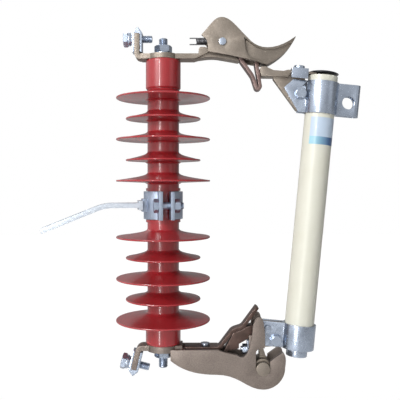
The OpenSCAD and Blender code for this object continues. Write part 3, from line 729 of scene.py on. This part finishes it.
    def finish(self, mesh: Value) -> "Shape":
        """Puts a mesh on every point, turned by the points' own turns, and ends the tree.

        Args:
            mesh: The mesh to repeat.

        Returns:
            The finished tree.
        """
        turn = self.node("GeometryNodeInputNamedAttribute", {"data_type": "FLOAT_VECTOR"}, {"Name": "turn"})
        placed = self.node(
            "GeometryNodeInstanceOnPoints",
            inputs={
                "Points": self.size("Points"),
                "Instance": mesh,
                "Rotation": self.node("FunctionNodeEulerToRotation", inputs={0: turn}),
            },
        )
        solid = self.node("GeometryNodeRealizeInstances", inputs={"Geometry": placed})
        coated = self.node(
            "GeometryNodeSetMaterial", inputs={"Geometry": solid, "Material": self.size("Finish")}
        )
        out = self.tree.nodes.new("NodeGroupOutput")
        self.tree.links.new(coated.socket, out.inputs["Mesh"])
        return self

    def cast(self, name: str, spots: Sequence[Spot], coat: Coat, sizes: dict[str, float]) -> bpy.types.Mesh:
        """Runs the tree and turns its result into a plain mesh.

        Args:
            name: The mesh's name.
            spots: Where the piece repeats.
            coat: The finish that it wears.
            sizes: The tree's inputs, by name.

        Returns:
            The mesh, in the part's own frame.
        """
        cloud = bpy.data.meshes.new(name)
        cloud.from_pydata([tuple(spot.place) for spot in spots], [], [])
        turns = cloud.attributes.new("turn", "FLOAT_VECTOR", "POINT")
        for entry, spot in zip(turns.data, spots):
            entry.vector = spot.euler()
        carrier = link(name, cloud)
        modifier = carrier.modifiers.new(name, "NODES")
        modifier.node_group = self.tree
        modifier[self.keys["Finish"]] = coat.value.material()
        for label, value in sizes.items():
            modifier[self.keys[label]] = value
        graph = bpy.context.evaluated_depsgraph_get()
        mesh = bpy.data.meshes.new_from_object(carrier.evaluated_get(graph))
        carrier.modifiers.remove(modifier)
        bpy.data.objects.remove(carrier)
        bpy.data.meshes.remove(cloud)
        if not mesh.materials:
            mesh.materials.append(coat.value.material())
        mesh.name = name
        return mesh


def nut_shape() -> Shape:
    """A bored hexagon nut."""
    shape = Shape("hexagon nut", ("Across", "Height", "Bore"))
    return shape.finish(shape.hexagon(shape.size("Across"), shape.size("Height"), shape.size("Bore")))


def bolt_shape() -> Shape:
    """A hexagon bolt with a washer under its head.

    Returns:
        Its tree; the bolt stands on its head's outer face.
    """
    shape = Shape("hexagon bolt", ("Across", "Head", "Washer Radius", "Washer Height", *ROD_SIZES))
    head, washer = shape.size("Head"), shape.size("Washer Height")
    shank = shape.threaded_rod(*map(shape.size, ROD_SIZES))
    return shape.finish(
        shape.join(
            shape.hexagon(shape.size("Across"), head),
            shape.lift(shape.drum(shape.size("Washer Radius"), washer, ROUND_SIDES), head - washer),
            shape.lift(shank, head),
        )
    )


def stud_shape() -> Shape:
    """A stud that is threaded along its far end."""
    shape = Shape("stud", ROD_SIZES)
    return shape.finish(shape.threaded_rod(*map(shape.size, ROD_SIZES)))


def spring_shape() -> Shape:
    """A closed coil spring.

    Returns:
        Its tree; the spring has two straight legs on its near side.
    """
    shape = Shape("coil spring", ("Coil Radius", "Wire Radius", "Turns", "Length", "Leg"))
    coil_radius, wire_radius = shape.size("Coil Radius"), shape.size("Wire Radius")
    coil = shape.node(
        "GeometryNodeCurveSpiral",
        inputs={
            "Resolution": COIL_STEPS,
            "Rotations": shape.size("Turns"),
            "Start Radius": coil_radius,
            "End Radius": coil_radius,
            "Height": shape.size("Length"),
        },
    )
    legs = [
        shape.node(
            "GeometryNodeCurvePrimitiveLine",
            inputs={
                "Start": shape.vector(coil_radius * side, 0.0, wire_radius),
                "End": shape.vector(coil_radius * side, 0.0, shape.size("Leg") * -1.0),
            },
        )
        for side in (-1.0, 1.0)
    ]
    return shape.finish(shape.wire(shape.join(coil, *legs), wire_radius))


def lie_of(node: str, axis: Vector, corner: Vector) -> Spot:
    """Where a CAD node lies along an axis.

    Args:
        node: The CAD node, symmetrical about a line along the axis.
        axis: The direction from its near end to its far end.
        corner: The direction of one corner of its hexagon.

    Returns:
        Its near end on that line, with its length.
    """
    z = axis.normalized()
    x = (corner - z * corner.dot(z)).normalized()
    y = z.cross(x)
    points = [vertex.co for vertex in bpy.data.objects[node].data.vertices]
    reaches = ([point.dot(way) for point in points] for way in (x, y, z))
    spans = [(min(values), max(values)) for values in reaches]
    middle = x * sum(spans[0]) / 2.0 + y * sum(spans[1]) / 2.0
    return Spot(middle + z * spans[2][0], z, x, spans[2][1] - spans[2][0])


def lies_of(nodes: Iterable[str], axis: Vector, corner: Vector) -> list[Spot]:
    """Where several CAD nodes lie along one axis."""
    return [lie_of(node, axis, corner) for node in nodes]


def dress(node: str, coat: Coat) -> None:
    """Gives a CAD node its finish.

    Args:
        node: The CAD node's name.
        coat: The finish that it wears.
    """
    mesh = bpy.data.objects[node].data
    mesh.materials.clear()
    mesh.materials.append(coat.value.material())


def add_piece(
    name: str, mesh: bpy.types.Mesh, body: str, nodes: Iterable[str] = ()
) -> bpy.types.Object:
    """Links a finished mesh as a piece that rides on a body.

    Args:
        name: The piece's name.
        mesh: Its mesh, in the part's own frame.
        body: The CAD body that carries it.
        nodes: The CAD nodes that it stands for.

    Returns:
        The new object.
    """
    piece = link(name, mesh)
    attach(piece, body)
    for node in nodes:
        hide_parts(node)
    LOG.info("%s: %d faces on %s", name, len(mesh.polygons), body)
    return piece


def crisp(mesh: bpy.types.Mesh, angle: float = 30.0) -> bpy.types.Mesh:
    """Shades a mesh smooth, up to an angle between its faces.

    Args:
        mesh: The mesh.
        angle: The angle in degrees.

    Returns:
        The same mesh.
    """
    mesh.shade_smooth()
    mesh.set_sharp_from_angle(angle=math.radians(angle))
    return mesh


def soften(
    node: str, body: str, coat: Coat, width: float, sharp: float = 32.0
) -> bpy.types.Object:
    """Shows a copy of a CAD node with its sharp edges rounded and marked as worn.

    Args:
        node: The CAD node.
        body: The CAD body that carries it.
        coat: The finish that it wears.
        width: The edge radius in millimetres.
        sharp: The least angle between faces, in degrees, that counts as an edge.

    Returns:
        The rounded piece.
    """
    shape = bmesh.new()
    shape.from_mesh(bpy.data.objects[node].data)
    bmesh.ops.remove_doubles(shape, verts=shape.verts, dist=WELD)
    bmesh.ops.dissolve_limit(shape, angle_limit=math.radians(FLAT), verts=shape.verts, edges=shape.edges)
    edges = [e for e in shape.edges if e.is_manifold and e.calc_face_angle(0.0) > math.radians(sharp)]
    worn = shape.faces.layers.float.new(WORN)
    rounded = bmesh.ops.bevel(
        shape,
        geom=edges,
        offset=width * MM,
        offset_type="OFFSET",
        segments=BEVEL_STEPS,
        profile=BEVEL_SHAPE,
        affect="EDGES",
        clamp_overlap=True,
        harden_normals=False,
    )
    for face in rounded["faces"]:
        face[worn] = 1.0
    bmesh.ops.triangulate(shape, faces=[f for f in shape.faces if len(f.verts) > 4])
    mesh = bpy.data.meshes.new(f"{node}_shown")
    shape.to_mesh(mesh)
    shape.free()
    mesh.materials.append(coat.value.material())
    return add_piece(f"{node}_shown", crisp(mesh, sharp), body, [node])


def soften_all(nodes: Iterable[str], body: str, coat: Coat, width: float) -> None:
    """Softens several CAD nodes in the same way."""
    for node in nodes:
        soften(node, body, coat, width)


@dataclass
class Directions:
    """The part's own directions, taken from the record's mounts."""

    up: Vector
    tube: Vector
    band: Vector
    top_terminal: Vector
    bottom_terminal: Vector
    tube_middle: Vector

    @classmethod
    def read(cls, record: dict[str, Any]) -> "Directions":
        """Reads them.

        Args:
            record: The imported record.

        Returns:
            The directions.
        """
        mounts = {mount["name"]: mount for mount in record["mounts"]}
        face = Vector(mounts["strap_face"]["axis"])
        return cls(
            up=Vector((0.0, 0.0, 1.0)),
            tube=-Vector(mounts["link_bore"]["axis"]),
            band=Vector((face.x, face.y, 0.0)).normalized(),
            top_terminal=-Vector(mounts["top_terminal"]["axis"]),
            bottom_terminal=-Vector(mounts["bottom_terminal"]["axis"]),
            tube_middle=Vector(mounts["link_bore"]["pos_m"]),
        )


@dataclass(frozen=True)
class Bolt:
    """A hexagon bolt or stud with its washer and nut, in millimetres."""

    across: float
    radius: float
    thread: float
    pitch: float
    head: float = 0.0
    washer_radius: float = 0.0
    washer: float = 0.0
    nut: float = 0.0

    def rod_sizes(self, length: float) -> dict[str, float]:
        """The stud tree's inputs for a rod of some length, in metres."""
        return dict(zip(ROD_SIZES, (self.radius * MM, length, self.thread * MM, self.pitch * MM)))

    def bolt_sizes(self, length: float) -> dict[str, float]:
        """The bolt tree's inputs for a length over the head, in metres."""
        return {
            "Across": self.across * MM,
            "Head": self.head * MM,
            "Washer Radius": self.washer_radius * MM,
            "Washer Height": self.washer * MM,
            **self.rod_sizes(length - self.head * MM),
        }

    def nut_sizes(self) -> dict[str, float]:
        """The nut tree's inputs, in metres."""
        bore = (self.radius + BORE_ROOM) * MM
        return {"Across": self.across * MM, "Height": self.nut * MM, "Bore": bore}


@dataclass
class Fasteners:
    """The trees of the fasteners that several sub-assemblies share."""

    nut: Shape
    bolt: Shape
    stud: Shape


def fasten(
    tree: Shape,
    name: str,
    nodes: Sequence[str],
    body: str,
    coat: Coat,
    spots: list[Spot],
    sizes: dict[str, float],
) -> None:
    """Adds fasteners as one zinc piece.

    Args:
        tree: The fasteners' tree.
        name: The piece's name.
        nodes: The CAD nodes that it stands for.
        body: The CAD body that carries it.
        coat: The finish that it wears.
        spots: Where the fasteners lie.
        sizes: The tree's inputs, by name.
    """
    mesh = tree.cast(name, spots, coat, sizes)
    add_piece(name, crisp(mesh), body, nodes)


@dataclass
class Insulator:
    """The shedded housing and the studs at its ends."""

    stud: Bolt = Bolt(across=17.0, radius=5.0, thread=30.0, pitch=1.5, nut=7.8)
    nut_turns: Span = (12.0, 8.0)
    washer_edge: float = 0.3

    def build(self, ways: Directions, kit: Fasteners) -> None:
        """Dresses the housing and makes the studs and their nuts.

        Args:
            ways: The part's directions.
            kit: The fasteners' trees.
        """
        dress("insulator", Coat.SILICONE)
        east = Vector((1.0, 0.0, 0.0))
        for node, way in (("top_stud", ways.up), ("bottom_stud", -ways.up)):
            spot = lie_of(node, way, east)
            sizes = self.stud.rod_sizes(spot.length)
            fasten(kit.stud, f"{node}_shown", [node], "base", Coat.PLATED, [spot], sizes)
        nuts = ("top_nut", "bottom_nut")
        spots = [
            lie_of(node, ways.up, Vector((math.cos(turn), math.sin(turn), 0.0)))
            for node, turn in zip(nuts, map(math.radians, self.nut_turns))
        ]
        fasten(kit.nut, "stud_nuts", nuts, "base", Coat.PLATED, spots, self.stud.nut_sizes())
        soften("top_washer", "base", Coat.PLATED, self.washer_edge)


@dataclass
class Terminals:
    """The two line terminals: saddles, washers and their bolts."""

    bolt: Bolt = Bolt(
        across=15.5, head=5.4, washer_radius=7.595, washer=0.6, radius=4.2, thread=16.0, pitch=1.5
    )
    block_edge: float = 0.7
    washer_edge: float = 0.25

    def build(self, ways: Directions, kit: Fasteners) -> None:
        """Softens the saddles and makes both bolts.

        Args:
            ways: The part's directions.
            kit: The fasteners' trees.
        """
        kinds = ("block", "washer", "bolt")
        blocks, washers, bolts = ([f"{end}_terminal_{kind}" for end in ("top", "bottom")] for kind in kinds)
        soften_all(blocks, "base", Coat.PLATED, self.block_edge)
        soften_all(washers, "base", Coat.PLATED, self.washer_edge)
        axes = (ways.top_terminal, ways.bottom_terminal)
        spots = [lie_of(node, axis, ways.up) for node, axis in zip(bolts, axes)]
        sizes = self.bolt.bolt_sizes(spots[0].length)
        fasten(kit.bolt, "terminal_bolts", bolts, "base", Coat.PLATED, spots, sizes)


@dataclass
class UpperContact:
    """The contact plate, its V strip and the sprung hood."""

    plate_edge: float = 0.7
    hood_edge: float = 0.6
    strip_edge: float = 0.35
    pin_edge: float = 0.5
    coil_radius: float = 3.45
    wire_radius: float = 0.66
    turns: float = 8.0
    coil: float = 11.6
    leg: float = 7.5
    spring_angle: float = 50.0

    def build(self, ways: Directions) -> None:
        """Softens the castings and coils the spring.

        Args:
            ways: The part's directions.
        """
        soften("upper_contact_plate", "base", Coat.BRONZE, self.plate_edge)
        soften("hood", "hood", Coat.BRONZE, self.hood_edge)
        soften("upper_spring_contact", "base", Coat.COPPER, self.strip_edge)
        soften("hood_pivot_pin", "base", Coat.PLATED, self.pin_edge)
        self.spring(ways)

    def spring(self, ways: Directions) -> None:
        """Coils the hood's spring, with its legs on the terminal's side.

        Args:
            ways: The part's directions.
        """
        low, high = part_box("hood_spring")
        start = Vector((low.x + self.leg * MM, (low.y + high.y) / 2.0, (low.z + high.z) / 2.0))
        spot = Spot(start, Vector((1.0, 0.0, 0.0)), ways.up)
        sizes = {
            "Coil Radius": self.coil_radius * MM,
            "Wire Radius": self.wire_radius * MM,
            "Turns": self.turns,
            "Length": self.coil * MM,
            "Leg": self.leg * MM,
        }
        name = "hood_spring_shown"
        mesh = crisp(spring_shape().cast(name, [spot], Coat.DARK_STEEL, sizes), self.spring_angle)
        add_piece(name, mesh, "hood", ["hood_spring"])


@dataclass
class LowerHinge:
    """The hinge casting with its contact strip."""

    casting_edge: float = 0.7
    strip_edge: float = 0.35
    backing_edge: float = 0.4
    screw_edge: float = 0.5

    def build(self) -> None:
        """Softens its pieces."""
        # The hinge casting wears the darkened bronze copy, as painted shade for the lower hinge.
        soften("hinge_casting", "base", Coat.SHADED_BRONZE, self.casting_edge)
        # Painted shade: the strip and its backing wear the darkened copper copy; the backing is a dark piece
        # that fills the shaded space between the cheeks under the strip.
        soften("lower_spring_contact", "base", Coat.SHADED_STRIP, self.strip_edge)
        soften("strip_backing", "base", Coat.SHADED_STRIP, self.backing_edge)
        soften_all(("strip_screw", "hinge_contact_nut"), "base", Coat.PLATED, self.screw_edge)


@dataclass
class MountingBand:
    """The two half bands, their bolts and the bent strap."""

    bolt: Bolt = Bolt(
        across=13.0, head=5.5, washer_radius=6.37, washer=0.5, radius=4.0, thread=18.0, pitch=1.25, nut=6.5
    )
    band_edge: float = 0.6
    strap_edge: float = 0.8

    def build(self, ways: Directions, kit: Fasteners) -> None:
        """Softens the sheet parts and makes the bolts and nuts.

        Args:
            ways: The part's directions.
            kit: The fasteners' trees.
        """
        soften_all(("left_half_band", "right_half_band"), "base", Coat.BAND, self.band_edge)
        soften("mounting_strap", "base", Coat.STRAP, self.strap_edge)
        bolts = ("front_band_bolt", "back_band_bolt")
        nuts = ("front_band_nut", "back_band_nut")
        spots = lies_of(bolts, ways.band, ways.up)
        sizes = self.bolt.bolt_sizes(spots[0].length)
        fasten(kit.bolt, "band_bolts", bolts, "base", Coat.BAND, spots, sizes)
        spots = lies_of(nuts, ways.band, ways.up)
        fasten(kit.nut, "band_nuts", nuts, "base", Coat.BAND, spots, self.bolt.nut_sizes())


@dataclass
class FuseHolder:
    """The painted tube with its clamps, contact arm, cap, trunnion and bare label."""

    bolt: Bolt = Bolt(
        across=11.0, head=4.6, washer_radius=6.4, washer=1.2, radius=4.0, thread=10.0, pitch=1.25, nut=4.0
    )
    cap_edge: float = 0.3
    cast_edge: float = 0.6
    sheet_edge: float = 0.35
    turned_edge: float = 0.7
    tube_radius: float = 16.0
    label_low: float = 74.2
    label_height: float = 29.5
    label_start: float = -132.0
    label_sweep: float = 150.0
    film: float = 0.15
    film_inside: float = 0.1
    columns: int = 48

    def build(self, ways: Directions, kit: Fasteners) -> None:
        """Dresses the tube, softens the fittings and adds the fasteners and the label.

        Args:
            ways: The part's directions.
            kit: The fasteners' trees.
        """
        body = "fuse_holder"
        dress("fuse_tube", Coat.TUBE)
        soften("tube_cap", body, Coat.CAP, self.cap_edge)
        soften_all(("contact_arm", "trunnion"), body, Coat.BRONZE, self.cast_edge)
        sheets = ("upper_tube_clamp", "lower_tube_clamp", "cap_bracket")
        soften_all(sheets, body, Coat.PLATED, self.sheet_edge)
        turned = ("tube_ferrule", "lower_clamp_rivet", "cap_screw")
        soften_all(turned, body, Coat.PLATED, self.turned_edge)
        away = Vector((0.0, 1.0, 0.0))
        corner = away.cross(ways.tube)
        for node in ("upper_clamp_bolt", "lower_clamp_bolt"):
            spot = lie_of(node, away, corner)
            sizes = self.bolt.bolt_sizes(spot.length)
            fasten(kit.bolt, f"{node}_shown", [node], body, Coat.PLATED, [spot], sizes)
        nuts = ("upper_clamp_nut", "lower_clamp_nut")
        spots = lies_of(nuts, away, corner)
        fasten(kit.nut, "clamp_nuts", nuts, body, Coat.PLATED, spots, self.bolt.nut_sizes())
        self.label(ways)

    def label(self, ways: Directions) -> None:
        """Wraps the label's film round the tube, under the upper clamp.

        Args:
            ways: The part's directions.
        """
        side = Vector((0.0, 1.0, 0.0))
        out = side.cross(ways.tube).normalized()
        shape = bmesh.new()
        uv_layer = shape.loops.layers.uv.new("UVMap")
        skins = (self.tube_radius - self.film_inside, self.tube_radius + self.film)
        grid: dict[tuple[int, int, int], bmesh.types.BMVert] = {}
        for i in range(self.columns + 1):
            angle = math.radians(self.label_start + self.label_sweep * i / self.columns)
            way = out * math.cos(angle) + side * math.sin(angle)
            for level in (0, 1):
                foot = ways.tube_middle + ways.tube * (self.label_low + self.label_height * level) * MM
                for skin, radius in enumerate(skins):
                    grid[i, level, skin] = shape.verts.new(foot + way * radius * MM)
        rows = (
            ((0, 0, 1), (1, 0, 1), (1, 1, 1), (0, 1, 1)),
            ((1, 0, 0), (0, 0, 0), (0, 1, 0), (1, 1, 0)),
            ((0, 1, 1), (1, 1, 1), (1, 1, 0), (0, 1, 0)),
            ((1, 0, 1), (0, 0, 1), (0, 0, 0), (1, 0, 0)),
        )
        quads = [[(i + step, *rest) for step, *rest in row] for row in rows for i in range(self.columns)]
        last = self.columns
        quads.append([(0, 0, 0), (0, 0, 1), (0, 1, 1), (0, 1, 0)])
        quads.append([(last, 0, 1), (last, 0, 0), (last, 1, 0), (last, 1, 1)])
        for quad in quads:
            face = shape.faces.new([grid[key] for key in quad])
            for loop, key in zip(face.loops, quad):
                loop[uv_layer].uv = (key[0] / self.columns, key[1])
        bmesh.ops.recalc_face_normals(shape, faces=shape.faces)
        mesh = bpy.data.meshes.new("tube_label")
        shape.to_mesh(mesh)
        shape.free()
        mesh.materials.append(Coat.LABEL.value.material())
        add_piece("tube_label", crisp(mesh), "fuse_holder")


@dataclass(frozen=True)
class Lamp:
    """An area lamp, in metres and watts."""

    name: str
    place: Triple
    width: float
    height: float
    power: float

    def hang(self, aim: Triple) -> None:
        """Hangs the lamp, turned to a point.

        Args:
            aim: The point.
        """
        lamp = bpy.data.lights.new(self.name, "AREA")
        lamp.shape = "RECTANGLE"
        lamp.size, lamp.size_y = self.width, self.height
        lamp.energy = self.power
        holder = link(self.name, lamp)
        holder.location = self.place
        way = Vector(aim) - Vector(self.place)
        holder.rotation_euler = way.to_track_quat("-Z", "Y").to_euler()


@dataclass
class Studio:
    """Pale floor, soft lamps, a white surround and the camera."""

    camera_at: Triple = (0.13903, -0.64261, 0.03930)
    lens: float = 54.0
    sensor: float = 36.0
    shift_y: float = -0.0375
    floor_z: float = -0.52
    floor_half: float = 6.0
    floor_colour: Colour = (0.86, 0.86, 0.86)
    floor_glow: float = 1.08
    glow_near: float = 0.86
    glow_gain: float = 0.12
    glow_fade: Span = (0.8, 2.6)
    gloss: float = 0.30
    ambient: float = 0.27
    bright_side: Triple = (-0.75, -0.45, 0.45)
    bright_edges: Span = (-0.35, 0.75)
    aim: Triple = (0.18, 0.0, 0.03)
    lamps: tuple[Lamp, ...] = (
        Lamp("key", (-0.95, -1.25, 0.85), 0.6, 0.6, 22.0),
        Lamp("strip", (-0.42, -1.35, 0.10), 0.05, 1.5, 12.0),
        Lamp("fill", (1.6, -0.9, 0.4), 0.8, 0.8, 1.2),
        Lamp("back", (-0.4, 1.2, 1.4), 1.0, 1.0, 7.0),
    )

    def build(self) -> None:
        """Builds the floor, lamps, world and camera."""
        self.lay_floor()
        for lamp in self.lamps:
            lamp.hang(self.aim)
        self.light_world()
        self.place_camera()

    @staticmethod
    def rays(graph: Graph) -> tuple[Value, Value]:
        """Tells rays apart.

        Args:
            graph: The tree that asks.

        Returns:
            1 for rays from the camera or through glass, and 1 for rays that gloss sends on.
        """
        camera, glass, glossy = (
            graph.node("ShaderNodeLightPath", output=f"Is {kind} Ray")
            for kind in ("Camera", "Transmission", "Glossy")
        )
        return camera.most(glass), glossy

    def lay_floor(self) -> None:
        """Lays the floor below the part's lowest pose, whiter with distance."""
        half, z = self.floor_half, self.floor_z
        mesh = bpy.data.meshes.new("floor")
        edge = ((-half, -half, z), (half, -half, z), (half, half, z), (-half, half, z))
        mesh.from_pydata(edge, [], [(0, 1, 2, 3)])
        paint = Paint("floor_paint")
        plain = paint.node("ShaderNodeBsdfDiffuse", inputs={"Color": self.floor_colour})
        glow = paint.node("ShaderNodeEmission", inputs={"Color": WHITE, "Strength": self.floor_glow})
        clear, glossy = self.rays(paint)
        reach = paint.length(paint.place())
        level = reach.step(*self.glow_fade) * self.glow_gain + self.glow_near
        share = clear.most(glossy * self.gloss) * level
        mixed = paint.node("ShaderNodeMixShader", inputs={0: share, 1: plain, 2: glow})
        mesh.materials.append(paint.end(mixed))
        link("floor", mesh)

    def light_world(self) -> None:
        """Sets a soft white surround, white to the camera and brighter on one side to gloss."""
        world = bpy.data.worlds.new("surround")
        bpy.context.scene.world = world
        world.use_nodes = True
        graph = Graph(world.node_tree)
        clear, glossy = self.rays(graph)
        way = graph.node("ShaderNodeTexCoord", output="Generated")
        lit = graph.node(
            "ShaderNodeVectorMath",
            {"operation": "DOT_PRODUCT"},
            {0: way, 1: Vector(self.bright_side).normalized()},
            "Value",
        ).step(*self.bright_edges)
        level = clear.most(glossy * lit) * (1.0 - self.ambient) + self.ambient
        glow = graph.node("ShaderNodeBackground", inputs={"Color": WHITE, "Strength": level})
        end = graph.tree.nodes.new("ShaderNodeOutputWorld")
        graph.tree.links.new(glow.socket, end.inputs["Surface"])

    def place_camera(self) -> None:
        """Places the camera level with the upper half of the part."""
        camera = bpy.data.cameras.new("camera")
        camera.lens = self.lens
        camera.sensor_width = self.sensor
        camera.shift_y = self.shift_y
        holder = link("camera", camera)
        holder.location = self.camera_at
        holder.rotation_euler = (math.radians(90.0), 0.0, 0.0)
        bpy.context.scene.camera = holder


def main() -> None:
    """Builds the cutout's looks in order and reports each piece."""
    logging.basicConfig(level=logging.INFO, format="%(name)s: %(message)s")
    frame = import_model()
    bpy.context.scene.view_settings.view_transform = "Standard"
    ways = Directions.read(frame["record"])
    Studio().build()
    kit = Fasteners(nut_shape(), bolt_shape(), stud_shape())
    Insulator().build(ways, kit)
    Terminals().build(ways, kit)
    UpperContact().build(ways)
    LowerHinge().build()
    MountingBand().build(ways, kit)
    FuseHolder().build(ways, kit)


if __name__ == "__main__":
    main()
